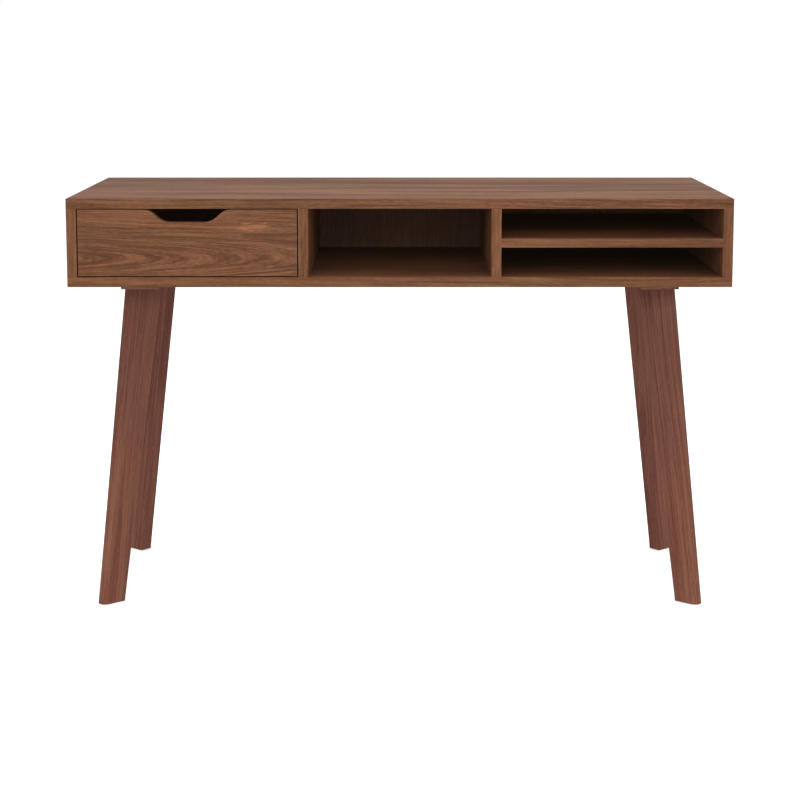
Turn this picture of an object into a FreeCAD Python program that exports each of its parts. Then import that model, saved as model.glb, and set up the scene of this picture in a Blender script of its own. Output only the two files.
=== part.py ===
import FreeCAD, Part
import Sketcher
import math
import os

# Writing desk: a low walnut box with a drawer, an open cubby and two letter slots,
# carried on four splayed board legs. Millimetres, +Z up, front towards -Y,
# origin on the floor under the middle of the desk.

doc = FreeCAD.newDocument("WritingDesk")
sheet = doc.addObject("Spreadsheet::Sheet", "Dims")

DIMS = [
    # overall box
    ("width", 1200), ("depth", 500), ("height", 765), ("under", 605), ("board", 18),
    ("edge_round", 0.6), ("middle_opening", 330),
    ("back_board", 15), ("back_recess", 5),
    ("shelf_board", 16), ("shelf_under", 54),
    # carcass joints
    ("joint_front", 60), ("joint_centre", 240), ("joint_rear", 430),
    ("dowel_dia", 8), ("dowel_long", 30), ("dowel_up", 12),
    ("pin_dia", 6), ("pin_long", 26), ("hole_play", 0.2), ("end_play", 0.5),
    ("joint_low", 30), ("joint_high", 94),
    ("confirmat_dia", 7), ("confirmat_long", 50), ("confirmat_head", 10), ("confirmat_head_deep", 4),
    # legs, seen in their own plane: 0 is the inner end of the top edge
    ("leg_top_at_x", 480.5), ("leg_top_at_y", 134.8), ("leg_angle", 40), ("leg_thick", 26),
    ("leg_lift", 0.8), ("leg_top_width", 69.7), ("leg_foot_width", 47.6), ("leg_lean", 93.45),
    ("leg_bullnose", 12.3), ("leg_inner_round", 1.4),
    ("pad_side", 70), ("pad_thick", 15),
    ("leg_screw_near", 21), ("leg_screw_far", 49), ("leg_screw_dia", 6), ("leg_screw_long", 68),
    ("leg_screw_head", 11), ("leg_screw_head_deep", 4),
    ("bolt_offset", 22), ("bolt_dia", 6), ("bolt_long", 19.5), ("bolt_head", 10), ("bolt_head_deep", 5.4),
    ("bolt_bore", 15), ("bolt_bore_deep", 8), ("washer_dia", 14), ("washer_thick", 1.2),
    ("insert_dia", 10), ("insert_long", 13),
    ("glide_dia", 20), ("glide_thick", 2), ("glide_pin_dia", 3), ("glide_pin_long", 14),
    # drawer
    ("drawer_gap", 2), ("drawer_top_gap", 1.4), ("slide_space", 12.7), ("drawer_board", 12), ("drawer_side_high", 90),
    ("drawer_side_long", 450), ("drawer_side_lift", 12), ("drawer_ply", 5), ("groove_up", 8), ("groove_deep", 6),
    ("scoop_top", 137.4), ("scoop_floor", 85), ("scoop_deep", 22.9), ("scoop_lip_round", 25), ("scoop_floor_round", 33),
    ("drawer_pin_low", 25), ("drawer_pin_high", 70), ("drawer_pin_front", 12), ("drawer_pin_long", 30),
    ("drawer_screw_low", 24), ("drawer_screw_high", 74), ("drawer_screw_dia", 4), ("drawer_screw_long", 35),
    ("drawer_screw_head", 8), ("drawer_screw_head_deep", 2),
    ("ply_screw_dia", 3), ("ply_screw_long", 16), ("ply_screw_head", 6.5), ("ply_screw_head_deep", 1.5),
    ("ply_screw_first", 40),
    # slides, cross-section from the fixed wall outwards, heights either side of the centre line
    ("slide_front", 20), ("slide_long", 450), ("slide_sheet", 1.2),
    ("outer_half", 22.75), ("outer_reach", 9), ("outer_lip", 19.6),
    ("mid_half", 17.75), ("mid_near", 2.6), ("mid_reach", 10.2), ("mid_lip", 15),
    ("inner_half", 13.1), ("inner_near", 5.2),
    ("outer_ball_at", 4.8), ("outer_ball_rad", 1.6), ("inner_ball_at", 6.8), ("inner_ball_rad", 1.4),
    ("cage_thick", 0.6), ("cage_long", 150), ("cage_from", 150), ("cage_half_width", 1.9), ("ball_pitch", 24), ("ball_first", 15),
    ("slide_screw_dia", 3.5), ("slide_screw_long", 12), ("slide_screw_head", 7), ("slide_screw_head_deep", 1),
    ("slide_screw_front", 40), ("slide_screw_centre", 220), ("slide_screw_rear", 410),
]
for row, (alias, number) in enumerate(DIMS, 1):
    sheet.set("A%d" % row, alias)
    sheet.set("B%d" % row, str(number))
    sheet.setAlias("B%d" % row, alias)
doc.recompute()


class Q:
    """A length that carries both its sheet expression and its present value."""

    def __init__(self, text, value):
        self.text, self.value = text, float(value)

    def __add__(self, other):
        o = q(other)
        return Q("(%s + %s)" % (self.text, o.text), self.value + o.value)

    __radd__ = __add__

    def __sub__(self, other):
        o = q(other)
        return Q("(%s - %s)" % (self.text, o.text), self.value - o.value)

    def __rsub__(self, other):
        return q(other) - self

    def __mul__(self, other):
        o = q(other)
        return Q("(%s * %s)" % (self.text, o.text), self.value * o.value)

    __rmul__ = __mul__

    def __truediv__(self, other):
        o = q(other)
        return Q("(%s / %s)" % (self.text, o.text), self.value / o.value)

    def __neg__(self):
        return Q("(0 - %s)" % self.text, -self.value)


def q(number):
    if isinstance(number, Q):
        return number
    if number < 0:
        return Q("(0 - %r)" % (-float(number)), number)
    return Q("%r" % float(number), number)


def cosd(angle):
    return Q("cos(%s * 1 deg)" % angle.text, math.cos(math.radians(angle.value)))


def sind(angle):
    return Q("sin(%s * 1 deg)" % angle.text, math.sin(math.radians(angle.value)))


D = {alias: Q("Dims.%s" % alias, number) for alias, number in DIMS}
ZERO = q(0)
X, Y, Z = FreeCAD.Vector(1, 0, 0), FreeCAD.Vector(0, 1, 0), FreeCAD.Vector(0, 0, 1)
nodes = []


# ---------------------------------------------------------------- building helpers
def set_place(obj, place, axis=None, angle=0.0):
    turn = FreeCAD.Rotation(axis, angle) if axis is not None else FreeCAD.Rotation()
    obj.Placement = FreeCAD.Placement(FreeCAD.Vector(*[p.value for p in place]), turn)
    for name, p in zip("xyz", place):
        obj.setExpression("Placement.Base." + name, p.text)


def new_body(label, keep=True):
    body = doc.addObject("PartDesign::Body", label)
    body.Label = label
    if keep:
        nodes.append(body)
    return body


def new_sketch(body, name, role, along=ZERO):
    """A sketch on one of the body's own planes, moved along that plane's normal."""
    sk = body.newObject("Sketcher::SketchObject", body.Name + "_" + name)
    plane = [f for f in body.Origin.OriginFeatures if f.Role == role][0]
    sk.AttachmentSupport = [(plane, "")]
    sk.MapMode = "FlatFace"
    if along is not ZERO:
        sk.AttachmentOffset = FreeCAD.Placement(FreeCAD.Vector(0, 0, along.value), FreeCAD.Rotation())
        sk.setExpression("AttachmentOffset.Base.z", along.text)
    return sk


def drive(sk, index, word, length):
    name = "%s_%d" % (word, index)
    sk.renameConstraint(index, name)
    sk.setExpression("Constraints." + name, length.text)


def pin_point(sk, geo, pos, x, y):
    if abs(x.value) < 1e-9 and abs(y.value) < 1e-9:
        sk.addConstraint(Sketcher.Constraint("Coincident", geo, pos, -1, 1))
        return
    if abs(x.value) < 1e-9:
        sk.addConstraint(Sketcher.Constraint("PointOnObject", geo, pos, -2))
    else:
        drive(sk, sk.addConstraint(Sketcher.Constraint("DistanceX", -1, 1, geo, pos, x.value)), "across", x)
    if abs(y.value) < 1e-9:
        sk.addConstraint(Sketcher.Constraint("PointOnObject", geo, pos, -1))
    else:
        drive(sk, sk.addConstraint(Sketcher.Constraint("DistanceY", -1, 1, geo, pos, y.value)), "up", y)


def polygon(sk, points):
    points = [(q(x), q(y)) for x, y in points]
    n, first = len(points), sk.GeometryCount
    at = [FreeCAD.Vector(x.value, y.value, 0) for x, y in points]
    sk.addGeometry([Part.LineSegment(at[i], at[(i + 1) % n]) for i in range(n)], False)
    sk.addConstraint([Sketcher.Constraint("Coincident", first + i, 2, first + (i + 1) % n, 1) for i in range(n)])
    for i, (x, y) in enumerate(points):
        pin_point(sk, first + i, 1, x, y)


def rectangle(sk, x0, y0, x1, y1):
    polygon(sk, [(x0, y0), (x1, y0), (x1, y1), (x0, y1)])


def circles(sk, centres, diameter):
    for x, y in centres:
        x, y = q(x), q(y)
        geo = sk.addGeometry(Part.Circle(FreeCAD.Vector(x.value, y.value, 0), Z, diameter.value / 2), False)
        pin_point(sk, geo, 3, x, y)
        drive(sk, sk.addConstraint(Sketcher.Constraint("Diameter", geo, diameter.value)), "bore", diameter)


def pad(body, sk, length, reverse=False, both=False):
    feature = body.newObject("PartDesign::Pad", body.Name + "_pad")
    feature.Profile = sk
    feature.Length = length.value
    feature.setExpression("Length", length.text)
    feature.Reversed = reverse
    if both:
        feature.Midplane = True
    doc.recompute()
    return feature


def cut(body, sk, depth, reverse=False):
    before = body.Shape.Volume
    feature = body.newObject("PartDesign::Pocket", sk.Name + "_cut")
    feature.Profile = sk
    feature.Length = depth.value
    feature.setExpression("Length", depth.text)
    feature.Reversed = reverse
    doc.recompute()
    if not body.Shape.Volume < before - 1e-3:
        raise RuntimeError("nothing was cut by " + sk.Name)
    return feature


def bores(body, name, role, along, reverse, centres, diameter, depth):
    sk = new_sketch(body, name, role, along)
    circles(sk, centres, diameter)
    return cut(body, sk, depth, reverse)


def round_edges(body, feature, radius, choose=None):
    f = body.newObject("PartDesign::Fillet", body.Name + "_round")
    edges = feature.Shape.Edges
    names = ["Edge%d" % (i + 1) for i, e in enumerate(edges) if choose is None or choose(e)]
    if not names:
        raise RuntimeError("no edges to round on " + body.Name)
    f.Base = (feature, names)
    f.Radius = radius.value
    f.setExpression("Radius", radius.text)
    doc.recompute()
    return f


def board(label, lx, ly, lz, place, soften=True):
    """A rectangular board with one corner at its own origin and slightly eased edges."""
    body = new_body(label)
    sk = new_sketch(body, "outline", "XY_Plane")
    rectangle(sk, ZERO, ZERO, q(lx), q(ly))
    feature = pad(body, sk, q(lz))
    if soften:
        round_edges(body, feature, D["edge_round"])
    set_place(body, place)
    return body


def turned(label, profile, keep=False):
    """A turned piece from its half profile of (radius, height) points, axis along +Z."""
    body = new_body(label, keep)
    sk = new_sketch(body, "half", "XZ_Plane")
    polygon(sk, profile)
    feature = body.newObject("PartDesign::Revolution", label + "_turn")
    feature.Profile = sk
    feature.ReferenceAxis = (sk, ["V_Axis"])
    feature.Angle = 360
    doc.recompute()
    return body


def dowel(label, diameter, length):
    r, c = diameter / 2, 0.8
    return turned(label, [(ZERO, ZERO), (r - c, ZERO), (r, q(c)), (r, length - c), (r - c, length), (ZERO, length)])


def screw(label, diameter, length, head, deep, recess):
    """Head face at 0, shank up to its length, with a round drive recess in the head."""
    r, rh, tip = diameter / 2, head / 2, diameter / 2
    rr = q(recess)
    return turned(label, [
        (ZERO, deep * 0.6), (rr, deep * 0.6), (rr, ZERO), (rh, ZERO), (rh, deep),
        (r, deep), (r, length - tip), (r * 0.4, length), (ZERO, length)])


def group(label, master, places):
    """Separate copies of one small piece, kept together under one name."""
    copies = []
    for i, (place, axis, angle) in enumerate(places):
        copy = doc.addObject("App::Link", "%s_%d" % (label, i + 1))
        copy.setLink(master)
        set_place(copy, [q(p) for p in place], axis, angle)
        copies.append(copy)
    made = doc.addObject("Part::Compound", label)
    made.Label = label
    made.Links = copies
    nodes.append(made)
    doc.recompute()
    return made


UPRIGHT = (None, 0.0)
TO_PX, TO_NX = (Y, 90.0), (-Y, 90.0)
TO_PY, TO_NY = (-X, 90.0), (X, 90.0)
TO_NZ = (X, 180.0)

# ---------------------------------------------------------------- shared positions
half_w, half_d = D["width"] / 2, D["depth"] / 2
t = D["board"]
front = -half_d
inside_high = D["height"] - D["under"] - 2 * t
floor_z = D["under"] + t
roof_z = D["height"] - t
back_at = D["depth"] - D["back_recess"] - D["back_board"]        # depth from the front plane to the back panel
side_gap = half_w - 2 * t - D["middle_opening"] / 2                # clear width of the outer compartments
div_in, div_out = D["middle_opening"] / 2, D["middle_opening"] / 2 + t
joints_y = [D["joint_front"], D["joint_centre"], D["joint_rear"]]
joints_z = [D["joint_low"], D["joint_high"]]
play, spare = D["hole_play"], D["end_play"]
dowel_bore, pin_bore = D["dowel_dia"] + play, D["pin_dia"] + play
screw_bore = D["confirmat_dia"] + play
uprights_x = [t / 2, half_w - div_in - t / 2, half_w + div_in + t / 2, D["width"] - t / 2]   # from the left end
corners = {"front_left": (-1, -1), "front_right": (1, -1), "back_left": (-1, 1), "back_right": (1, 1)}
bolt_spots = {}
for name, (sx, sy) in corners.items():
    b = D["bolt_offset"]
    bolt_spots[name] = [(b, -b), (-b, b)] if sx * sy > 0 else [(b, b), (-b, -b)]

# ---------------------------------------------------------------- carcass boards
top = board("top_panel", D["width"], D["depth"], t, [-half_w, front, roof_z])
bores(top, "dowel_holes", "XY_Plane", ZERO, True, [(x, y) for x in uprights_x for y in joints_y],
      dowel_bore, D["dowel_up"] + spare)

bottom = board("bottom_panel", D["width"], D["depth"], t, [-half_w, front, D["under"]])
screw_spots = [(x, y) for x in uprights_x for y in joints_y]
bores(bottom, "screw_holes", "XY_Plane", ZERO, True, screw_spots, screw_bore, t)
bores(bottom, "screw_heads", "XY_Plane", ZERO, True, screw_spots, D["confirmat_head"] + 2 * play, D["confirmat_head_deep"] + play)
insert_spots = []
for name, (sx, sy) in corners.items():
    for dx, dy in bolt_spots[name]:
        insert_spots.append((half_w + sx * D["leg_top_at_x"] + dx, half_d + sy * D["leg_top_at_y"] + dy))
bores(bottom, "insert_holes", "XY_Plane", ZERO, True, insert_spots, D["insert_dia"] + play, D["insert_long"] + spare)

slide_z = D["drawer_side_lift"] + D["drawer_side_high"] / 2         # slide centre above the compartment floor
shelf_z = D["shelf_under"] + D["shelf_board"] / 2
shelf_pins_y = [q(80), q(400)]
slide_screws_y = [D["slide_front"] + D[k] for k in ("slide_screw_front", "slide_screw_centre", "slide_screw_rear")]
pilot = D["slide_screw_dia"] + play
pilot_deep = D["slide_screw_long"] - D["slide_screw_head_deep"] - D["slide_sheet"] + spare


def upright_holes(body):
    bores(body, "dowel_holes", "XY_Plane", inside_high, False, [(t / 2, y) for y in joints_y],
          dowel_bore, D["dowel_long"] - D["dowel_up"] + spare)
    bores(body, "screw_holes", "XY_Plane", ZERO, True, [(t / 2, y) for y in joints_y],
          screw_bore, D["confirmat_long"] - t + spare)


pin_wall = q(10)                                                    # depth of a cross pin in a standing board
back_mid = back_at + D["back_board"] / 2

left_side = board("left_side_panel", t, D["depth"], inside_high, [-half_w, front, floor_z])
upright_holes(left_side)
bores(left_side, "back_pins", "YZ_Plane", t, False, [(back_mid, z) for z in joints_z], pin_bore, pin_wall + spare)
bores(left_side, "slide_pilots", "YZ_Plane", t, False, [(y, slide_z) for y in slide_screws_y], pilot, pilot_deep)

right_side = board("right_side_panel", t, D["depth"], inside_high, [half_w - t, front, floor_z])
upright_holes(right_side)
bores(right_side, "back_pins", "YZ_Plane", ZERO, True, [(back_mid, z) for z in joints_z], pin_bore, pin_wall + spare)
bores(right_side, "shelf_pins", "YZ_Plane", ZERO, True, [(y, shelf_z) for y in shelf_pins_y], pin_bore, pin_wall + spare)

left_div = board("left_divider", t, back_at, inside_high, [-div_out, front, floor_z])
upright_holes(left_div)
bores(left_div, "back_pins", "XZ_Plane", -back_at, True, [(t / 2, z) for z in joints_z], pin_bore, D["pin_long"] - pin_wall + spare)
bores(left_div, "slide_pilots", "YZ_Plane", ZERO, True, [(y, slide_z) for y in slide_screws_y], pilot, pilot_deep)

right_div = board("right_divider", t, back_at, inside_high, [div_in, front, floor_z])
upright_holes(right_div)
bores(right_div, "back_pins", "XZ_Plane", -back_at, True, [(t / 2, z) for z in joints_z], pin_bore, D["pin_long"] - pin_wall + spare)
bores(right_div, "shelf_pins", "YZ_Plane", t, False, [(y, shelf_z) for y in shelf_pins_y], pin_bore, pin_wall + spare)

back_wide = D["width"] - 2 * t
back = board("back_panel", back_wide, D["back_board"], inside_high, [-half_w + t, front + back_at, floor_z])
bores(back, "left_pins", "YZ_Plane", ZERO, True, [(D["back_board"] / 2, z) for z in joints_z], pin_bore, D["pin_long"] - pin_wall + spare)
bores(back, "right_pins", "YZ_Plane", back_wide, False, [(D["back_board"] / 2, z) for z in joints_z], pin_bore, D["pin_long"] - pin_wall + spare)
back_div_x = [back_wide / 2 - div_in - t / 2, back_wide / 2 + div_in + t / 2]
bores(back, "divider_pins", "XZ_Plane", ZERO, False, [(x, z) for x in back_div_x for z in joints_z], pin_bore, pin_wall + spare)

shelf = board("letter_shelf", side_gap, back_at, D["shelf_board"], [div_out, front, floor_z + D["shelf_under"]])
bores(shelf, "left_pins", "YZ_Plane", ZERO, True, [(y, D["shelf_board"] / 2) for y in shelf_pins_y], pin_bore, D["pin_long"] - pin_wall + spare)
bores(shelf, "right_pins", "YZ_Plane", side_gap, False, [(y, D["shelf_board"] / 2) for y in shelf_pins_y], pin_bore, D["pin_long"] - pin_wall + spare)

# carcass fasteners
dowel_8 = dowel("dowel_pattern", D["dowel_dia"], D["dowel_long"])
group("carcass_top_dowels", dowel_8,
      [((x - half_w, front + y, roof_z - D["dowel_long"] + D["dowel_up"]), *UPRIGHT) for x in uprights_x for y in joints_y])
confirmat = screw("confirmat_pattern", D["confirmat_dia"], D["confirmat_long"], D["confirmat_head"], D["confirmat_head_deep"], 2.4)
group("carcass_bottom_screws", confirmat,
      [((x - half_w, front + y, D["under"]), *UPRIGHT) for x, y in screw_spots])
pin_6 = dowel("pin_pattern", D["pin_dia"], D["pin_long"])
pins = []
for z in joints_z:
    pins.append(((-half_w + t - pin_wall, front + back_mid, floor_z + z), *TO_PX))
    pins.append(((half_w - t + pin_wall, front + back_mid, floor_z + z), *TO_NX))
    for sx in (-1, 1):
        pins.append(((sx * (div_in + t / 2), front + back_at + pin_wall, floor_z + z), *TO_NY))
group("back_panel_dowels", pin_6, pins)
pins = []
for y in shelf_pins_y:
    pins.append(((div_out - pin_wall, front + y, floor_z + shelf_z), *TO_PX))
    pins.append(((half_w - t + pin_wall, front + y, floor_z + shelf_z), *TO_NX))
group("shelf_dowels", pin_6, pins)

# ---------------------------------------------------------------- legs and pads
leg_high = D["under"] - D["pad_thick"] - D["leg_lift"]
foot_mid = D["leg_lean"] + D["leg_foot_width"] / 2
ca, sa = cosd(D["leg_angle"]), sind(D["leg_angle"])
turns = {"front_left": (-Z, 140.0), "front_right": (-Z, 40.0), "back_left": (Z, 140.0), "back_right": (Z, 40.0)}
leg_screw_run = [D["leg_screw_near"], D["leg_screw_far"]]
leg_screw_places, bolt_places, washer_places, insert_places, glide_places = [], [], [], [], []
for name, (sx, sy) in corners.items():
    # A tapered board standing in an upright plane that points out of the corner. Its outer edge is a bullnose.
    leg = new_body("leg_" + name)
    sk = new_sketch(leg, "side", "XZ_Plane")
    polygon(sk, [(D["leg_lean"], ZERO), (D["leg_lean"] + D["leg_foot_width"], ZERO),
                 (D["leg_top_width"], leg_high), (ZERO, leg_high)])
    blank = pad(leg, sk, D["leg_thick"], both=True)
    foot_out, top_out = D["leg_lean"].value + D["leg_foot_width"].value, D["leg_top_width"].value

    def long_edge(e, x_foot, x_top):
        a, b = sorted(e.Vertexes, key=lambda v: v.Point.z)
        return abs(a.Point.x - x_foot) < 1e-3 and abs(b.Point.x - x_top) < 1e-3 and b.Point.z - a.Point.z > 1

    nosed = round_edges(leg, blank, D["leg_bullnose"], lambda e: long_edge(e, foot_out, top_out))
    eased = round_edges(leg, nosed, D["leg_inner_round"], lambda e: len(e.Vertexes) == 2 and long_edge(e, D["leg_lean"].value, 0.0))
    bores(leg, "screw_holes", "XY_Plane", leg_high, False, [(s, ZERO) for s in leg_screw_run],
          D["leg_screw_dia"] + play, D["leg_screw_long"] - D["pad_thick"] + spare)
    bores(leg, "glide_seat", "XY_Plane", ZERO, True, [(foot_mid, ZERO)], D["glide_dia"] + 2 * play, D["glide_thick"] - D["leg_lift"])
    bores(leg, "glide_pin", "XY_Plane", ZERO, True, [(foot_mid, ZERO)], D["glide_pin_dia"] + play, D["glide_pin_long"] + spare)
    cx, cy = sx * D["leg_top_at_x"], sy * D["leg_top_at_y"]
    from_mid = D["leg_top_width"] / 2
    ox, oy = cx - sx * ca * from_mid, cy - sy * sa * from_mid
    set_place(leg, [ox, oy, D["leg_lift"]], *turns[name])

    # A square block that spreads the leg's load under the carcass.
    half = D["pad_side"] / 2
    block = board("leg_pad_" + name, D["pad_side"], D["pad_side"], D["pad_thick"], [cx - half, cy - half, D["under"] - D["pad_thick"]])
    runs = [(half + sx * ca * (s - from_mid), half + sy * sa * (s - from_mid)) for s in leg_screw_run]
    bores(block, "leg_screw_holes", "XY_Plane", ZERO, True, runs, D["leg_screw_dia"] + play, D["pad_thick"])
    bores(block, "leg_screw_heads", "XY_Plane", D["pad_thick"], False, runs, D["leg_screw_head"] + 2 * play, D["leg_screw_head_deep"] + play)
    spots = [(half + dx, half + dy) for dx, dy in bolt_spots[name]]
    bores(block, "bolt_holes", "XY_Plane", ZERO, True, spots, D["bolt_dia"] + 2 * play, D["pad_thick"])
    bores(block, "bolt_heads", "XY_Plane", ZERO, True, spots, D["bolt_bore"], D["bolt_bore_deep"])
    for s in leg_screw_run:
        leg_screw_places.append(((cx + sx * ca * (s - from_mid), cy + sy * sa * (s - from_mid), D["under"] - play), *TO_NZ))
    seat = D["under"] - D["pad_thick"] + D["bolt_bore_deep"]
    for dx, dy in bolt_spots[name]:
        washer_places.append(((cx + dx, cy + dy, seat - D["washer_thick"]), *UPRIGHT))
        bolt_places.append(((cx + dx, cy + dy, seat - D["washer_thick"] - D["bolt_head_deep"]), *UPRIGHT))
        insert_places.append(((cx + dx, cy + dy, D["under"]), *UPRIGHT))
    reach = foot_mid - from_mid
    glide_places.append(((cx + sx * ca * reach, cy + sy * sa * reach, ZERO), *UPRIGHT))

leg_screw = screw("leg_screw_pattern", D["leg_screw_dia"], D["leg_screw_long"] - play, D["leg_screw_head"], D["leg_screw_head_deep"], 2.2)
group("leg_screws", leg_screw, leg_screw_places)
bolt = screw("bolt_pattern", D["bolt_dia"], D["bolt_head_deep"] + D["bolt_long"], D["bolt_head"], D["bolt_head_deep"], 2.5)
group("leg_pad_bolts", bolt, bolt_places)
washer = turned("washer_pattern", [(D["bolt_dia"] / 2 + 0.2, ZERO), (D["washer_dia"] / 2, ZERO),
                                   (D["washer_dia"] / 2, D["washer_thick"]), (D["bolt_dia"] / 2 + 0.2, D["washer_thick"])])
group("leg_pad_washers", washer, washer_places)
insert = turned("insert_pattern", [(D["bolt_dia"] / 2 + 0.1, ZERO), (D["insert_dia"] / 2, ZERO),
                                   (D["insert_dia"] / 2, D["insert_long"]), (D["bolt_dia"] / 2 + 0.1, D["insert_long"])])
group("insert_nuts", insert, insert_places)
gr = D["glide_dia"] / 2
glide = turned("glide_pattern", [(ZERO, ZERO), (gr - 0.7, ZERO), (gr, q(0.7)), (gr, D["glide_thick"]),
                                 (D["glide_pin_dia"] / 2, D["glide_thick"]), (D["glide_pin_dia"] / 2, D["glide_pin_long"]),
                                 (ZERO, D["glide_pin_long"])])
group("foot_glides", glide, glide_places)

# ---------------------------------------------------------------- drawer
gap = D["drawer_gap"]
face_wide, face_high = side_gap - 2 * gap, inside_high - gap - D["drawer_top_gap"]
face_x, face_z = -half_w + t + gap, floor_z + gap
face = new_body("drawer_front")
sk = new_sketch(face, "outline", "XY_Plane")
rectangle(sk, ZERO, ZERO, face_wide, t)
slab = pad(face, sk, face_high)
sk = new_sketch(face, "scoop", "XZ_Plane")
mid = face_wide / 2
ht, hb = D["scoop_top"] / 2, D["scoop_floor"] / 2
polygon(sk, [(mid - ht, face_high + 5), (mid - ht, face_high), (mid - hb, face_high - D["scoop_deep"]),
             (mid + hb, face_high - D["scoop_deep"]), (mid + ht, face_high), (mid + ht, face_high + 5)])
scoop = cut(face, sk, t)


def across_edge(e, xs, z):
    a, b = [v.Point for v in e.Vertexes]
    return abs(a.x - b.x) < 1e-4 and abs(a.z - b.z) < 1e-4 and abs(a.z - z) < 1e-3 and min(abs(a.x - x) for x in xs) < 1e-3


mv, tv, bv, hv = mid.value, ht.value, hb.value, face_high.value
lips = round_edges(face, scoop, D["scoop_lip_round"], lambda e: across_edge(e, (mv - tv, mv + tv), hv))
bowl = round_edges(face, lips, D["scoop_floor_round"],
                   lambda e: len(e.Vertexes) == 2 and across_edge(e, (mv - bv, mv + bv), hv - D["scoop_deep"].value))
eased = round_edges(face, bowl, D["edge_round"], lambda e: max(abs(v.Point.y) for v in e.Vertexes) < 1e-4)
box_left, box_right = -half_w + t + D["slide_space"], -div_out - D["slide_space"]
w = D["drawer_board"]
box_z = floor_z + D["drawer_side_lift"]
pin_x = [box_left + w / 2 - face_x, box_right - w / 2 - face_x]
pin_z = [D["drawer_pin_low"], D["drawer_pin_high"]]
bores(face, "side_pins", "XZ_Plane", -t, True, [(x, box_z + z - face_z) for x in pin_x for z in pin_z], pin_bore, D["drawer_pin_front"] + spare)
sk = new_sketch(face, "groove", "XZ_Plane", -t)
ply_z = box_z + D["groove_up"]
rectangle(sk, box_left + w - D["groove_deep"] - face_x, ply_z - 0.1 - face_z, box_right - w + D["groove_deep"] - face_x, ply_z + D["drawer_ply"] + 0.1 - face_z)
cut(face, sk, D["groove_deep"], True)
set_place(face, [face_x, front, face_z])

long, high = D["drawer_side_long"], D["drawer_side_high"]
back_y = long - w / 2
drawer_screws_z = [D["drawer_screw_low"], D["drawer_screw_high"]]
inner_screws_y = [D["slide_front"] + D[k] - t for k in ("slide_screw_front", "slide_screw_centre", "slide_screw_rear")]
inner_pilot_deep = D["slide_screw_long"] - D["slide_screw_head_deep"] - D["slide_sheet"] + spare
for label, x, outer_is_left in (("drawer_left_side", box_left, True), ("drawer_right_side", box_right - w, False)):
    side = board(label, w, long, high, [x, front + t, box_z])
    # groove for the drawer bottom, on the face that looks into the drawer
    sk = new_sketch(side, "groove", "YZ_Plane", w if outer_is_left else ZERO)
    rectangle(sk, ZERO, D["groove_up"] - 0.1, long, D["groove_up"] + D["drawer_ply"] + 0.1)
    cut(side, sk, D["groove_deep"], not outer_is_left)
    bores(side, "front_pins", "XZ_Plane", ZERO, False, [(w / 2, z) for z in pin_z], pin_bore, D["drawer_pin_long"] - D["drawer_pin_front"] + spare)
    wall, inward = (ZERO, True) if outer_is_left else (w, False)
    bores(side, "back_screws", "YZ_Plane", wall, inward, [(back_y, z) for z in drawer_screws_z], D["drawer_screw_dia"] + play, w)
    bores(side, "back_screw_heads", "YZ_Plane", wall, inward, [(back_y, z) for z in drawer_screws_z],
          D["drawer_screw_head"] + 2 * play, D["drawer_screw_head_deep"] + play)
    bores(side, "slide_pilots", "YZ_Plane", wall, inward, [(y, high / 2) for y in inner_screws_y], pilot, inner_pilot_deep)

inside_wide = box_right - box_left - 2 * w
rear_z = ply_z + D["drawer_ply"]
rear = board("drawer_back", inside_wide, w, box_z + high - rear_z, [box_left + w, front + t + long - w, rear_z])
for name, plane_x, inward in (("left_screws", ZERO, True), ("right_screws", inside_wide, False)):
    bores(rear, name, "YZ_Plane", plane_x, inward, [(w / 2, box_z + z - rear_z) for z in drawer_screws_z],
          D["drawer_screw_dia"] + play, D["drawer_screw_long"] - w + spare)
ply_screws_x = [D["ply_screw_first"], inside_wide / 2, inside_wide - D["ply_screw_first"]]
bores(rear, "ply_screws", "XY_Plane", ZERO, True, [(x, w / 2) for x in ply_screws_x], D["ply_screw_dia"] + play,
      D["ply_screw_long"] - D["ply_screw_head_deep"] - D["drawer_ply"] + spare)

ply_in = D["groove_deep"] - 0.5
ply_wide = inside_wide + 2 * ply_in
ply_long = long + ply_in - 1
ply = new_body("drawer_bottom")
sk = new_sketch(ply, "outline", "XY_Plane")
rectangle(sk, ZERO, ZERO, ply_wide, ply_long)
pad(ply, sk, D["drawer_ply"])
ply_y = back_y + ply_in
bores(ply, "screw_holes", "XY_Plane", ZERO, True, [(ply_in + x, ply_y) for x in ply_screws_x], D["ply_screw_dia"] + play, D["drawer_ply"])
set_place(ply, [box_left + w - ply_in, front + t - ply_in, ply_z])

front_pin = dowel("drawer_pin_pattern", D["pin_dia"], D["drawer_pin_long"])
group("drawer_front_dowels", front_pin,
      [((face_x + x, front + t - D["drawer_pin_front"], box_z + z), *TO_PY) for x in pin_x for z in pin_z])
drawer_screw = screw("drawer_screw_pattern", D["drawer_screw_dia"], D["drawer_screw_long"], D["drawer_screw_head"], D["drawer_screw_head_deep"], 1.5)
places = []
for z in drawer_screws_z:
    places.append(((box_left + 0.1, front + t + back_y, box_z + z), *TO_PX))
    places.append(((box_right - 0.1, front + t + back_y, box_z + z), *TO_NX))
group("drawer_back_screws", drawer_screw, places)
ply_screw = screw("ply_screw_pattern", D["ply_screw_dia"], D["ply_screw_long"], D["ply_screw_head"], D["ply_screw_head_deep"], 1.3)
group("drawer_bottom_screws", ply_screw,
      [((box_left + w + x, front + t + back_y, ply_z - D["ply_screw_head_deep"]), *UPRIGHT) for x in ply_screws_x])

# ---------------------------------------------------------------- drawer slides
sheet_t, run = D["slide_sheet"], D["slide_long"]
hz, mz, iz = D["outer_half"], D["mid_half"], D["inner_half"]
space = D["slide_space"]
centre_z = floor_z + slide_z
slide_y = front + D["slide_front"]
walls = {"left": (-half_w + t, 1, slide_y, None, 0.0), "right": (-div_out, -1, slide_y + run, Z, 180.0)}


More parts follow.
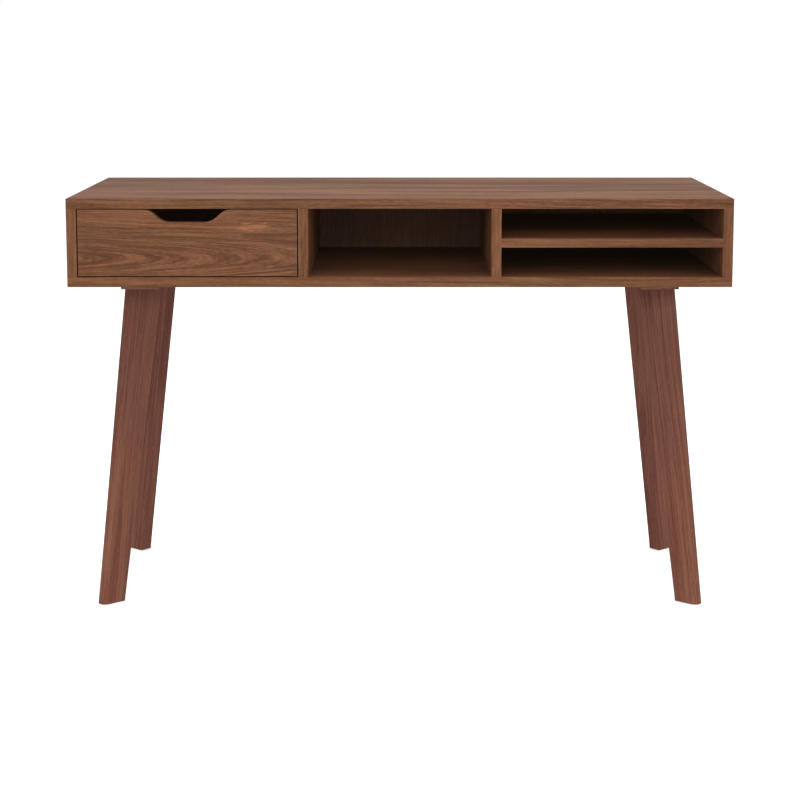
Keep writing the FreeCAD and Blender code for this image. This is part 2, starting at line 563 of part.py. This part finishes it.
def channel(label, outline, base, screws, where):
    """A rolled-steel channel: the cross-section swept straight back along the slide."""
    x, sense, y, axis, angle = where
    body = new_body(label)
    sk = new_sketch(body, "section", "XZ_Plane")
    polygon(sk, [(px, base + pz) for px, pz in outline])
    pad(body, sk, run, reverse=True)
    if screws is not None:
        at_x, at_y = screws
        bores(body, "screw_holes", "YZ_Plane", at_x, True, [(yy, base) for yy in at_y], D["slide_screw_dia"] + play, sheet_t)
    set_place(body, [x, y, centre_z - base], axis, angle)
    return body


def ladder(values, side):
    return [v if side == "left" else run - v for v in values]


screw_run = [D[k] for k in ("slide_screw_front", "slide_screw_centre", "slide_screw_rear")]
for side, where in walls.items():
    o, lip = D["outer_reach"], D["outer_lip"]
    channel(side + "_slide_outer", [
        (ZERO, -hz), (o, -hz), (o, -lip), (o - sheet_t, -lip), (o - sheet_t, sheet_t - hz), (sheet_t, sheet_t - hz),
        (sheet_t, hz - sheet_t), (o - sheet_t, hz - sheet_t), (o - sheet_t, lip), (o, lip), (o, hz), (ZERO, hz)],
        hz, (ZERO, ladder(screw_run, side)), where)
    near, o, lip = D["mid_near"], D["mid_reach"], D["mid_lip"]
    channel(side + "_slide_mid", [
        (near, -mz), (o, -mz), (o, -lip), (o - sheet_t, -lip), (o - sheet_t, sheet_t - mz), (near + sheet_t, sheet_t - mz),
        (near + sheet_t, mz - sheet_t), (o - sheet_t, mz - sheet_t), (o - sheet_t, lip), (o, lip), (o, mz), (near, mz)],
        mz, None, where)
    near = D["inner_near"]
    channel(side + "_slide_inner", [
        (near, -iz), (space, -iz), (space, iz), (near, iz), (near, iz - sheet_t),
        (space - sheet_t, iz - sheet_t), (space - sheet_t, sheet_t - iz), (near, sheet_t - iz)],
        iz, (space - sheet_t, ladder(screw_run, side)), where)

# Ball rows: each race has an upper and a lower strip that spaces the balls.
count = 6
races = {
    "outer": (D["outer_ball_at"], D["outer_ball_rad"], (hz - sheet_t + mz) / 2),
    "inner": (D["inner_ball_at"], D["inner_ball_rad"], (mz - sheet_t + iz) / 2),
}
for race, (at_x, rad, at_z) in races.items():
    strip = new_body(race + "_cage_pattern", keep=False)
    sk = new_sketch(strip, "outline", "XY_Plane")
    wide = D["cage_half_width"]
    rectangle(sk, ZERO, ZERO, 2 * wide, D["cage_long"])
    pad(strip, sk, D["cage_thick"])
    bores(strip, "pockets", "XY_Plane", ZERO, True, [(wide, D["ball_first"] + D["ball_pitch"] * i) for i in range(count)],
          2 * rad + 0.3, D["cage_thick"])
    ball = doc.addObject("Part::Sphere", race + "_ball_pattern")
    ball.Radius = rad.value
    ball.setExpression("Radius", rad.text)
    for side, (x, sense, y, axis, angle) in walls.items():
        y0 = slide_y + D["cage_from"]
        left_x = x + sense * at_x - wide
        group("%s_%s_ball_cage" % (side, race), strip,
              [((left_x, y0, centre_z + s * at_z - D["cage_thick"] / 2), *UPRIGHT) for s in (-1, 1)])
        group("%s_%s_balls" % (side, race), ball,
              [((x + sense * at_x, y0 + D["ball_first"] + D["ball_pitch"] * i, centre_z + s * at_z), *UPRIGHT)
               for s in (-1, 1) for i in range(count)])

slide_screw = screw("slide_screw_pattern", D["slide_screw_dia"], D["slide_screw_long"], D["slide_screw_head"], D["slide_screw_head_deep"], 1.3)
places = []
for yy in screw_run:
    places.append(((-half_w + t + sheet_t + D["slide_screw_head_deep"], slide_y + yy, centre_z), *TO_NX))
    places.append(((-div_out - sheet_t - D["slide_screw_head_deep"], slide_y + yy, centre_z), *TO_PX))
group("slide_fixed_screws", slide_screw, places)
places = []
for yy in screw_run:
    places.append(((box_left - sheet_t - D["slide_screw_head_deep"], slide_y + yy, centre_z), *TO_PX))
    places.append(((box_right + sheet_t + D["slide_screw_head_deep"], slide_y + yy, centre_z), *TO_NX))
group("slide_drawer_screws", slide_screw, places)

# ---------------------------------------------------------------- checks and files
doc.recompute()
bad = [o.Label for o in doc.Objects if "Invalid" in o.State or "Error" in o.State]
bad += [n.Label for n in nodes if n.Shape.isNull() or not n.Shape.isValid() or not n.Shape.Solids]
if bad:
    raise RuntimeError("broken pieces: " + ", ".join(bad))
os.makedirs("parts", exist_ok=True)
for n in nodes:
    n.Shape.exportStep("parts/%s.step" % n.Label)
box = FreeCAD.BoundBox()
for n in nodes:
    box.add(n.Shape.BoundBox)
print("pieces", len(nodes), "solids", sum(len(n.Shape.Solids) for n in nodes))
print("box", [round(v, 3) for v in (box.XMin, box.YMin, box.ZMin, box.XMax, box.YMax, box.ZMax)])
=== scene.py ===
import math
import bpy
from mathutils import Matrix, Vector

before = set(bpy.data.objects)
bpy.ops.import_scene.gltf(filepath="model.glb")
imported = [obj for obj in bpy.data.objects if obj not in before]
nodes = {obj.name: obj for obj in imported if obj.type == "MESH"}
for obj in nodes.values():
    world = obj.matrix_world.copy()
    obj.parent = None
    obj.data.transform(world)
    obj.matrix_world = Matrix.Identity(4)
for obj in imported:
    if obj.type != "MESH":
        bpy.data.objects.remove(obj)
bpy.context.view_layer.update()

scene = bpy.context.scene


# ------------------------------------------------------------------ node helpers
class Tree:
    """A material's node tree with short calls for the nodes used here."""

    def __init__(self, name):
        self.mat = bpy.data.materials.new(name)
        self.mat.use_nodes = True
        self.nt = self.mat.node_tree
        self.nt.nodes.clear()
        out = self.nt.nodes.new("ShaderNodeOutputMaterial")
        self.bsdf = self.nt.nodes.new("ShaderNodeBsdfPrincipled")
        self.nt.links.new(self.bsdf.outputs[0], out.inputs[0])
        self.slip = None

    def put(self, socket, value):
        if isinstance(value, bpy.types.NodeSocket):
            self.nt.links.new(value, socket)
        else:
            socket.default_value = value

    def node(self, kind, **props):
        n = self.nt.nodes.new(kind)
        for k, v in props.items():
            setattr(n, k, v)
        return n

    def math(self, op, a, b=0.0, c=0.0, clamp=False):
        n = self.node("ShaderNodeMath", operation=op, use_clamp=clamp)
        for i, v in enumerate((a, b, c)):
            self.put(n.inputs[i], v)
        return n.outputs[0]

    def vec(self, op, a, b=(0, 0, 0)):
        n = self.node("ShaderNodeVectorMath", operation=op)
        self.put(n.inputs[0], a)
        self.put(n.inputs[1], b)
        return n.outputs["Value"] if op in ("DOT_PRODUCT", "LENGTH", "DISTANCE") else n.outputs["Vector"]

    def xyz(self, x, y, z):
        n = self.node("ShaderNodeCombineXYZ")
        for i, v in enumerate((x, y, z)):
            self.put(n.inputs[i], v)
        return n.outputs[0]

    def split(self, v):
        n = self.node("ShaderNodeSeparateXYZ")
        self.put(n.inputs[0], v)
        return n.outputs[0], n.outputs[1], n.outputs[2]

    def noise(self, vector, stretch=(1, 1, 1), shift=(0, 0, 0), detail=2.0, rough=0.5, lacunarity=2.0, distortion=0.0):
        n = self.node("ShaderNodeTexNoise", noise_dimensions="3D")
        v = self.vec("ADD", self.vec("MULTIPLY", vector, tuple(stretch)), tuple(shift))
        if self.slip is not None:
            v = self.vec("ADD", v, self.slip)
        self.put(n.inputs["Vector"], v)
        n.inputs["Scale"].default_value = 1.0
        n.inputs["Detail"].default_value = detail
        n.inputs["Roughness"].default_value = rough
        n.inputs["Lacunarity"].default_value = lacunarity
        n.inputs["Distortion"].default_value = distortion
        return n.outputs[0]

    def add(self, base, value, amount, clamp=False):
        """base plus a noise value, centred on zero and scaled."""
        return self.math("MULTIPLY_ADD", self.math("SUBTRACT", value, 0.5), amount, base, clamp)

    def ramp(self, fac, stops, smooth="LINEAR"):
        n = self.node("ShaderNodeValToRGB")
        n.color_ramp.interpolation = smooth
        e = n.color_ramp.elements
        while len(e) < len(stops):
            e.new(0.5)
        for el, (pos, col) in zip(e, stops):
            el.position = pos
            el.color = (*col, 1.0) if not isinstance(col, (int, float)) else (col, col, col, 1.0)
        self.put(n.inputs[0], fac)
        return n.outputs[0]

    def mix(self, fac, a, b, kind="MIX"):
        n = self.node("ShaderNodeMix", data_type="RGBA", blend_type=kind)
        self.put(n.inputs[0], fac)
        for i, v in ((6, a), (7, b)):
            self.put(n.inputs[i], (*v, 1.0) if isinstance(v, tuple) and len(v) == 3 else v)
        return n.outputs[2]

    def mixv(self, fac, a, b):
        n = self.node("ShaderNodeMix", data_type="VECTOR")
        self.put(n.inputs[0], fac)
        self.put(n.inputs[4], a)
        self.put(n.inputs[5], b)
        return n.outputs[1]

    def bump(self, height, distance, strength=1.0, normal=None):
        n = self.node("ShaderNodeBump")
        n.inputs["Strength"].default_value = strength
        n.inputs["Distance"].default_value = distance
        self.put(n.inputs["Height"], height)
        if normal is not None:
            self.put(n.inputs["Normal"], normal)
        return n.outputs[0]


def finish_material(t, specular, **sockets):
    t.put(t.bsdf.inputs["Specular IOR Level"], specular)
    for name, value in sockets.items():
        t.put(t.bsdf.inputs[name.replace("_", " ")], value)
    return t.mat


# ------------------------------------------------------------------ walnut
def shades(mid, dark=0.70, light=1.30):
    return tuple(v * dark for v in mid), mid, tuple(v * light for v in mid)


VENEER = ((0.0621, 0.0249, 0.0110), (0.0850, 0.0358, 0.0168), (0.1090, 0.0466, 0.0226))
LEG = ((0.0605, 0.0210, 0.0146), (0.0800, 0.0307, 0.0203), (0.0925, 0.0380, 0.0246))
BOX_WOOD = shades((0.125, 0.060, 0.033))
BOX_PLY = shades((0.145, 0.074, 0.042))
BEECH = shades((0.46, 0.30, 0.17), 0.78, 1.16)


def walnut(name, grain, across, seed, heart=(0.0, -0.30), foot=0.0, tilt=0.02, palette=VENEER, tone=1.0,
           figure=0.22, broad=0.55, edge_broad=0.45, wide=20.0, length=2.6, streak=0.85, long=1.0, wave=0.003, rings=0.0,
           patchy=1.0, lines=0.5, edge_stock_and_painted_light=0.86, rough=0.56, specular=0.045, end_band=True, strip=0.0,
           raw_under=False, flare=None, painted_leg_shade=None):
    """Oiled walnut. Growth rings are sheets about a tilted, wandering heart line, so a board's face shows
    arches where it lies along the rings and lines where it crosses them. Bands, dashes, dark veins and pores
    all follow those sheets. heart is where the heart line passes, across the board and through it."""
    t = Tree(name)
    g, h = Vector(grain).normalized(), Vector(across).normalized()
    k = g.cross(h)
    tc = t.node("ShaderNodeTexCoord")
    p, nrm = tc.outputs["Object"], tc.outputs["Normal"]

    def along(a, b, c):
        return t.xyz(t.vec("DOT_PRODUCT", p, tuple(a)), t.vec("DOT_PRODUCT", p, tuple(b)), t.vec("DOT_PRODUCT", p, tuple(c)))

    q = along(g, h, k)
    if end_band:
        # the strip glued on a board's end has its grain along the strip
        facing_end = t.math("GREATER_THAN", t.math("ABSOLUTE", t.vec("DOT_PRODUCT", nrm, tuple(g))), 0.72)
        q = t.mixv(facing_end, q, along(h, k, g))
    on_face = t.math("GREATER_THAN", t.math("ABSOLUTE", t.vec("DOT_PRODUCT", nrm, tuple(k))), 0.72)
    if strip:
        # edge strips come from another leaf, so their figure doesn't run on from the face
        off_face = t.math("SUBTRACT", 1.0, on_face)
        t.slip = t.vec("MULTIPLY", t.xyz(off_face, off_face, off_face), tuple(Vector((3.1, 7.7, 5.3)) * strip))
    s = Vector((3.1, 7.7, 5.3)) * seed
    x, y, z = t.split(q)
    sway = t.noise(q, (1.3, 3.0, 3.0), s, detail=1.0)
    ripple = t.noise(q, (8.0, 26.0, 26.0), s + Vector((11, 2, 7)), detail=2.0, rough=0.55)
    off = t.add(t.math("MULTIPLY", t.math("SUBTRACT", sway, 0.5), 0.030), ripple, wave)
    yy = t.math("ADD", t.math("SUBTRACT", y, heart[0]), off)
    zz = t.math("ADD", t.math("SUBTRACT", z, heart[1]), t.math("MULTIPLY_ADD", off, 0.4, t.math("MULTIPLY", t.math("SUBTRACT", x, foot), tilt)))
    r = t.math("SQRT", t.math("ADD", t.math("MULTIPLY", yy, yy), t.math("MULTIPLY", zz, zz)))
    # along the board, out from the heart, round the heart
    rq = t.xyz(x, r, yy)
    year = t.noise(rq, (2.0, 200.0, 2.5), s + Vector((5, 1, 2)), detail=1.0)
    band = t.noise(rq, (length, wide, 4.0), s + Vector((1, 5, 9)), detail=patchy, rough=0.6)
    dash = t.noise(rq, (11.0 / long, 165.0, 16.0), s + Vector((4, 8, 3)), detail=1.0)
    fine = t.noise(rq, (28.0 / long, 400.0, 50.0), s + Vector((9, 1, 6)), detail=1.0)
    fibre = t.noise(rq, (90.0, 900.0, 160.0), s + Vector((7, 3, 8)), detail=2.0)
    banding = t.math("MULTIPLY_ADD", on_face, broad - edge_broad, edge_broad)
    level = t.add(t.add(t.add(t.add(t.add(0.5, year, figure), band, banding), dash, streak * 0.45), fine, streak), fibre, streak * 0.8)
    if rings:
        # latewood lines, clear near the heart and lost in the straight grain away from it, and a darker core
        phase = t.math("FRACT", t.add(t.math("DIVIDE", r, 0.0085), band, 1.2))
        late = t.ramp(phase, [(0.0, 0.78), (0.08, 0.60), (0.55, 0.55), (0.86, 0.46), (0.94, 0.14), (0.98, 0.66), (1.0, 0.78)])
        between = t.math("FRACT", t.add(t.math("DIVIDE", r, 0.0031), dash, 1.5))
        late = t.add(late, t.ramp(between, [(0.0, 0.62), (0.60, 0.52), (0.88, 0.30), (1.0, 0.62)]), 0.7)
        near = t.math("SUBTRACT", 1.3, t.math("DIVIDE", t.math("ABSOLUTE", yy), 0.040), clamp=True)
        level = t.math("MULTIPLY_ADD", t.math("MULTIPLY", t.math("SUBTRACT", late, 0.53), rings), near, level)
        core = t.math("SUBTRACT", 1.0, t.math("DIVIDE", r, 0.026), clamp=True)
        level = t.math("MULTIPLY_ADD", core, -0.30 * rings, level)
    dark, mid, light = [tuple(v * tone for v in c) for c in palette]
    colour = t.ramp(level, [(0.08, tuple(v * 0.82 for v in dark)), (0.32, dark), (0.50, mid), (0.68, light), (0.92, tuple(v * 1.18 for v in light))])
    # thin dark veins and pale threads here and there
    vein = t.ramp(t.noise(rq, (7.0 / long, 330.0, 12.0), s + Vector((8, 2, 4)), detail=1.0), [(0.61, 0.0), (0.71, 1.0)])
    colour = t.mix(t.math("MULTIPLY", vein, lines), colour, tuple(v * 0.74 for v in dark))
    thread = t.ramp(t.noise(rq, (8.0 / long, 320.0, 12.0), s + Vector((1, 9, 7)), detail=1.0), [(0.61, 0.0), (0.72, 1.0)])
    colour = t.mix(t.math("MULTIPLY", thread, lines), colour, (light[0] * 1.20, light[1] * 1.14, light[2] * 1.10))
    if flare:
        # a paler tongue of figure with a broken outline
        fx, fy, reach, thin = flare
        ex = t.math("DIVIDE", t.math("SUBTRACT", x, fx), reach)
        ey = t.math("DIVIDE", t.math("SUBTRACT", t.math("ADD", y, off), fy), thin)
        e = t.math("SUBTRACT", 1.0, t.math("ADD", t.math("MULTIPLY", ex, ex), t.math("MULTIPLY", ey, ey)))
        ragged = t.noise(rq, (40.0, 330.0, 60.0), s + Vector((3, 5, 2)), detail=2.0, rough=0.6)
        e = t.add(t.add(e, dash, 1.5), ragged, 5.5)
        tongue = t.ramp(e, [(0.10, 0.0), (0.80, 1.0)])
        colour = t.mix(t.math("MULTIPLY", tongue, 0.85), colour, (light[0] * 1.45, light[1] * 1.40, light[2] * 1.26))
    # edge strips are darker than the faces: partly darker stock, partly painted light, since this factor sets each
    # board's faces (the desk top, cubby walls and floors) lighter than its front edges to match how they are lit; some
    # stretches blush red
    edge_stock_and_painted_light_mix = t.math("MULTIPLY_ADD", on_face, 1.0 - edge_stock_and_painted_light, edge_stock_and_painted_light)
    blush = t.ramp(t.noise(rq, (3.0, 70.0, 6.0), s + Vector((6, 4, 1)), detail=1.0), [(0.42, 0.0), (0.66, 1.0)])
    tint = t.mix(t.math("MULTIPLY", blush, 0.6), (1.0, 1.0, 1.0), (0.99, 0.90, 0.93))
    colour = t.mix(1.0, t.mix(1.0, colour, t.xyz(edge_stock_and_painted_light_mix, edge_stock_and_painted_light_mix, edge_stock_and_painted_light_mix), "MULTIPLY"), tint, "MULTIPLY")
    if painted_leg_shade:
        # painted shade and light: the leg is darker at its top, under the carcass, and lighter towards its foot
        start, stop, first, last = painted_leg_shade
        painted_shade_drift = t.math("DIVIDE", t.math("SUBTRACT", x, start), stop - start, clamp=True)
        colour = t.mix(1.0, colour, t.mix(t.math("POWER", painted_shade_drift, 2.0), first, last), "MULTIPLY")
    # open pores: short dark ticks
    tick = t.noise(rq, (48.0, 1500.0, 300.0), s + Vector((2, 6, 8)), detail=1.0, rough=0.4)
    pores = t.ramp(tick, [(0.60, 0.0), (0.70, 1.0)])
    colour = t.mix(t.math("MULTIPLY", pores, 0.30), colour, tuple(v * 0.5 for v in dark))
    gloss = t.math("MULTIPLY_ADD", pores, 0.10, t.add(rough, dash, -0.14), True)
    height = t.math("SUBTRACT", t.math("MULTIPLY", fibre, 0.5), pores)
    if raw_under:
        # the underside has no oil on it, so it doesn't shine
        under = t.math("LESS_THAN", t.vec("DOT_PRODUCT", nrm, tuple(k)), -0.72)
        specular = t.math("MULTIPLY_ADD", under, -specular, specular)
    return finish_material(t, specular, Base_Color=colour, Roughness=gloss, Normal=t.bump(height, 0.00012, 0.5))


X, Y, Z = (1, 0, 0), (0, 1, 0), (0, 0, 1)


def dress(name, mat):
    data = nodes[name].data
    data.materials.clear()
    data.materials.append(mat)


# the edge factor in these calls darkens each board's front edges against its faces: partly darker stock, partly painted
# light
dress("top_panel", walnut("walnut_top", X, Y, 13.21, strip=0.74, heart=(-0.45, 0.45), tilt=0.012, broad=2.3, edge_broad=0.75, wide=24.0,
                          length=2.0, patchy=3.0, streak=1.1, long=3.2, wave=0.0012, tone=1.09, edge_stock_and_painted_light=0.735))
dress("bottom_panel", walnut("walnut_bottom", X, Y, 9.70, heart=(-0.55, 0.35), tilt=0.012, edge_broad=0.25, long=3.0, wave=0.0012,
                             tone=1.09, edge_stock_and_painted_light=0.78, raw_under=True))
dress("letter_shelf", walnut("walnut_shelf", X, Y, 14.06, heart=(-0.50, 0.42), tilt=0.012, edge_broad=1.15, long=3.0, wave=0.0012,
                             tone=1.05, edge_stock_and_painted_light=0.82))
dress("left_side_panel", walnut("walnut_left_side", Z, Y, 19.64, heart=(-0.60, 0.25), tilt=0.02, edge_broad=0.85, long=2.2, edge_stock_and_painted_light=0.80))
dress("right_side_panel", walnut("walnut_right_side", Z, Y, 5.9, heart=(-0.60, -0.95), tilt=0.02, long=2.2, edge_stock_and_painted_light=0.84))
dress("left_divider", walnut("walnut_left_divider", Z, Y, 11.38, heart=(-0.60, -0.20), tilt=0.02, tone=1.12, edge_stock_and_painted_light=0.77))
dress("right_divider", walnut("walnut_right_divider", Z, Y, 15.91, heart=(-0.58, -0.50), tilt=0.02, edge_broad=0.65, tone=1.12, edge_stock_and_painted_light=0.79))
dress("back_panel", walnut("walnut_back", Z, X, 8.8, heart=(0.9, 0.10), tilt=0.02, palette=shades((0.0745, 0.0357, 0.0218)),
                           figure=0.12, broad=0.15, edge_broad=0.15, streak=0.45, lines=0.2))
dress("drawer_front", walnut("walnut_drawer_front", X, Z, 13.67, heart=(0.6575, 0.226), foot=-0.457, tilt=0.063,
                             broad=0.6, length=1.6, streak=0.95, long=2.7, lines=0.75, wave=0.004, rings=0.75, tone=0.87, edge_stock_and_painted_light=1.0,
                             flare=(-0.2645, 0.717, 0.030, 0.0090)))

# legs: grain runs down each leaning board
for corner, sx, sy, seed in (("front_left", -1, -1, 14.82), ("front_right", 1, -1, 23.77), ("back_left", -1, 1, 21.06), ("back_right", 1, 1, 20.02)):
    out = Vector((sx * math.cos(math.radians(40)), sy * math.sin(math.radians(40)), 0.0))
    lean = math.atan2(0.0824, 0.589)
    down = (out * math.sin(lean) - Vector(Z) * math.cos(lean)).normalized()
    wide = (out * math.cos(lean) + Vector(Z) * math.sin(lean)).normalized()
    dress("leg_" + corner, walnut("walnut_leg_" + corner, down, wide, seed, heart=(0.12, 0.10), tilt=0.006, palette=LEG,
                                  figure=0.5, broad=0.8, edge_broad=0.6, wide=40.0, streak=0.7, long=3.5, edge_stock_and_painted_light=1.0, end_band=False,
                                  tone=1.05 if corner == "back_right" else 1.0,
                                  # painted light: legs darker under the carcass and lighter towards the feet, the front
                                  # legs more so
                                  painted_leg_shade=(-0.53, 0.08, (0.93, 0.94, 0.93), (1.24, 1.29, 1.17)) if sy < 0 else
                                       (-0.53, 0.08, (1.05, 1.00, 1.00), (1.16, 1.09, 1.09))))
    # the pads get a lighter walnut than the carcass: painted light that lifts the shadow the carcass casts on them
    dress("leg_pad_" + corner, walnut("walnut_pad_" + corner, X, Y, seed + 0.5, heart=(-0.6, 0.2), palette=shades((0.109, 0.0513, 0.0308)), edge_stock_and_painted_light=1.0, specular=0.0,
                                      end_band=False))

# drawer box
for i, n in enumerate(("drawer_left_side", "drawer_right_side")):
    dress(n, walnut("stained_" + n, Y, Z, 21.0 + i, heart=(0.30, -0.40), long=2.0, palette=BOX_WOOD))
dress("drawer_back", walnut("stained_drawer_back", X, Z, 23.5, heart=(0.30, -0.40), long=2.0, palette=BOX_WOOD))
dress("drawer_bottom", walnut("stained_ply", X, Y, 25.2, heart=(-0.6, 0.3), long=2.0, palette=BOX_PLY, rough=0.6))


# ------------------------------------------------------------------ metal, beech and nylon
def metal(name, colour, rough, grain_axis=(0, 1, 0), brushed=0.5):
    t = Tree(name)
    tc = t.node("ShaderNodeTexCoord")
    p = tc.outputs["Object"]
    stretch = tuple(30.0 if abs(a) > 0.5 else 2600.0 for a in grain_axis)
    lines = t.noise(p, stretch, (3, 1, 4), detail=3.0, rough=0.6)
    cloud = t.noise(p, (60, 60, 60), (1, 5, 9), detail=3.0, rough=0.6)
    spangle = t.noise(p, (420, 420, 420), (2, 6, 5), detail=1.0, rough=0.5)
    c = t.mix(t.math("MULTIPLY", cloud, 0.5), colour, tuple(v * 0.72 for v in colour))
    c = t.mix(t.math("MULTIPLY", spangle, 0.25), c, tuple(min(1.0, v * 1.15) for v in colour))
    r = t.add(t.add(rough, lines, brushed * 0.4), cloud, 0.15, True)
    t.bsdf.inputs["Metallic"].default_value = 1.0
    return finish_material(t, 0.5, Base_Color=c, Roughness=r, Normal=t.bump(lines, 0.00003, 0.4))


zinc = metal("dark_zinc_plate", (0.20, 0.20, 0.21), 0.38)
passivated = metal("zinc_screws", (0.60, 0.58, 0.52), 0.36, brushed=0.2)
polished = metal("polished_steel", (0.74, 0.74, 0.75), 0.12, brushed=0.1)
brass = metal("turned_brass", (0.70, 0.52, 0.24), 0.3, brushed=0.3)
for n in nodes:
    if "_slide_" in n or n.endswith("_ball_cage"):
        dress(n, zinc)
    elif n.endswith("_screws") or n in ("leg_pad_bolts", "leg_pad_washers"):
        dress(n, passivated)
    elif n.endswith("_balls"):
        dress(n, polished)
dress("insert_nuts", brass)
beech = walnut("raw_beech", Z, X, 31.0, heart=(0.3, 0.3), palette=BEECH, rough=0.65, end_band=False)
for n in nodes:
    if n.endswith("_dowels"):
        dress(n, beech)

t = Tree("nylon_glide")
p = t.node("ShaderNodeTexCoord").outputs["Object"]
speck = t.noise(p, (900, 900, 900), (0, 0, 0), detail=2.0)
scuff = t.noise(p, (90, 90, 90), (5, 5, 5), detail=4.0, rough=0.7)
dress("foot_glides", finish_material(t, 0.4, Base_Color=t.mix(scuff, (0.030, 0.022, 0.018), (0.055, 0.042, 0.034)),
                                     Roughness=t.math("MULTIPLY_ADD", scuff, 0.3, 0.4), Normal=t.bump(speck, 0.00005, 0.5)))

# ------------------------------------------------------------------ floor, light, camera
bpy.ops.mesh.primitive_plane_add(size=80.0, location=(0, 0, -0.0006))
floor = bpy.context.object
floor.name = "studio_floor"
t = Tree("studio_floor_paint")
p = t.node("ShaderNodeTexCoord").outputs["Object"]
haze = t.noise(p, (0.7, 0.7, 0.7), (2, 4, 6), detail=2.0)
t.bsdf.inputs["Emission Color"].default_value = (1.0, 1.0, 1.0, 1.0)
t.bsdf.inputs["Emission Strength"].default_value = 0.30
floor.data.materials.append(finish_material(t, 0.1, Base_Color=t.mix(haze, (0.73, 0.73, 0.73), (0.76, 0.76, 0.76)),
                                            Roughness=t.math("MULTIPLY_ADD", haze, 0.1, 0.8)))

world = bpy.data.worlds.new("studio")
scene.world = world
world.use_nodes = True
bg = world.node_tree.nodes["Background"]
bg.inputs[0].default_value = (1.0, 1.0, 1.0, 1.0)
bg.inputs[1].default_value = 1.0


def softbox(name, height, away, size, power, aside=0.0):
    """A rectangular soft light in front of the desk, height degrees up and aside degrees round, aimed at the carcass."""
    aim = Vector((0.0, 0.0, 0.7))
    a, b = math.radians(height), math.radians(aside)
    data = bpy.data.lights.new(name, "AREA")
    data.shape = "RECTANGLE"
    data.size, data.size_y = size
    data.energy = power
    obj = bpy.data.objects.new(name, data)
    scene.collection.objects.link(obj)
    obj.location = aim + Vector((away * math.cos(a) * math.sin(b), -away * math.cos(a) * math.cos(b), away * math.sin(a)))
    obj.rotation_euler = (aim - obj.location).to_track_quat("-Z", "Y").to_euler()
    obj.visible_camera = False
    return obj


softbox("low_box", 5.0, 5.0, (4.0, 1.2), 50.0)
softbox("key_box", 20.0, 5.0, (4.0, 1.4), 140.0)
softbox("high_box", 52.0, 5.0, (4.0, 1.6), 55.0)
softbox("top_box", 85.0, 4.0, (4.0, 3.0), 140.0)
softbox("left_box", 10.0, 5.0, (2.5, 1.8), 65.0, -45.0)
softbox("right_box", 10.0, 5.0, (2.5, 1.8), 65.0, 45.0)

# film response: straight, with a slightly raised warm black
scene.view_settings.view_transform = "Standard"
scene.view_settings.look = "None"
scene.view_settings.use_curve_mapping = True
scene.view_settings.curve_mapping.black_level = (-0.0030, -0.0020, -0.0013)
scene.view_settings.curve_mapping.update()

cam = bpy.data.cameras.new("camera")
cam.sensor_width = 36.0
cam.lens = 84.48
cam.shift_x, cam.shift_y = -0.0034, -0.150
eye = bpy.data.objects.new("camera", cam)
scene.collection.objects.link(eye)
eye.location = (0.0052, -3.6065, 1.0617)
eye.rotation_euler = (math.radians(90.0 - 7.527), 0.0, 0.0)
scene.camera = eye
